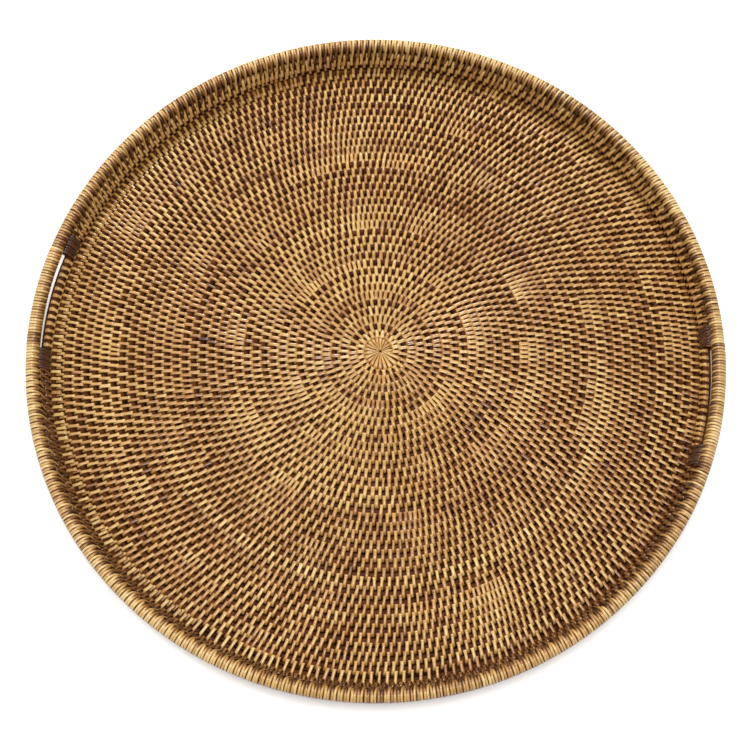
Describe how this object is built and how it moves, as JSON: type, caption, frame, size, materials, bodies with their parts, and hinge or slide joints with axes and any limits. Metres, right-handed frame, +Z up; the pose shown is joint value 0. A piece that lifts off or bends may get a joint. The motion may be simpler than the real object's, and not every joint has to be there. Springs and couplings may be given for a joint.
{
  "type": "serving tray",
  "caption": "Round shallow serving tray of coiled rattan: flat spiral base, low flared wall, wrapped rim hoop and a see-through handle slot at each side.",
  "frame": {"origin": "on the surface the tray stands on, under its middle", "axes": "+Z up, X through the two handle slots, +Y across them"},
  "size_m": [0.61, 0.6098, 0.0346],
  "materials": {
    "rattan_rod": "dark stained and lacquered",
    "base_peel": "honey brown, glossy lacquer, mottled from straw to red brown",
    "wall_peel": "honey to red brown, glossy lacquer",
    "rim_peel": "straw to honey brown, glossy lacquer",
    "dark_binding": "dark brown, satin"
  },
  "bodies": {
    "root": {"coil_eye": "rattan_rod", "base_rod_1": "rattan_rod", "base_rod_2": "rattan_rod", "base_rod_3": "rattan_rod", "base_rod_4": "rattan_rod", "base_rod_5": "rattan_rod", "base_rod_6": "rattan_rod", "base_rod_7": "rattan_rod", "base_rod_8": "rattan_rod", "base_rod_9": "rattan_rod", "coil_tail_rod": "rattan_rod", "base_edge_rod": "rattan_rod", "lower_wall_rod": "rattan_rod", "upper_wall_rod_far": "rattan_rod", "upper_wall_rod_near": "rattan_rod", "rim_hoop": "rattan_rod", "base_stitching_centre": "base_peel", "base_stitching_inner": "base_peel", "base_stitching_middle": "base_peel", "base_stitching_outer": "base_peel", "coil_tail_stitching": "base_peel", "base_edge_stitching": "base_peel", "lower_wall_stitching": "wall_peel", "upper_wall_stitching_far": "wall_peel", "upper_wall_stitching_near": "wall_peel", "rim_lashing_far": "wall_peel", "rim_lashing_near": "wall_peel", "rim_wrapping_far": "rim_peel", "rim_wrapping_near": "rim_peel", "handle_wrapping_left": "rim_peel", "handle_wrapping_right": "rim_peel", "slot_binding_left_far": "dark_binding", "slot_binding_left_near": "dark_binding", "slot_binding_right_far": "dark_binding", "slot_binding_right_near": "dark_binding"}
  },
  "joints": []
}
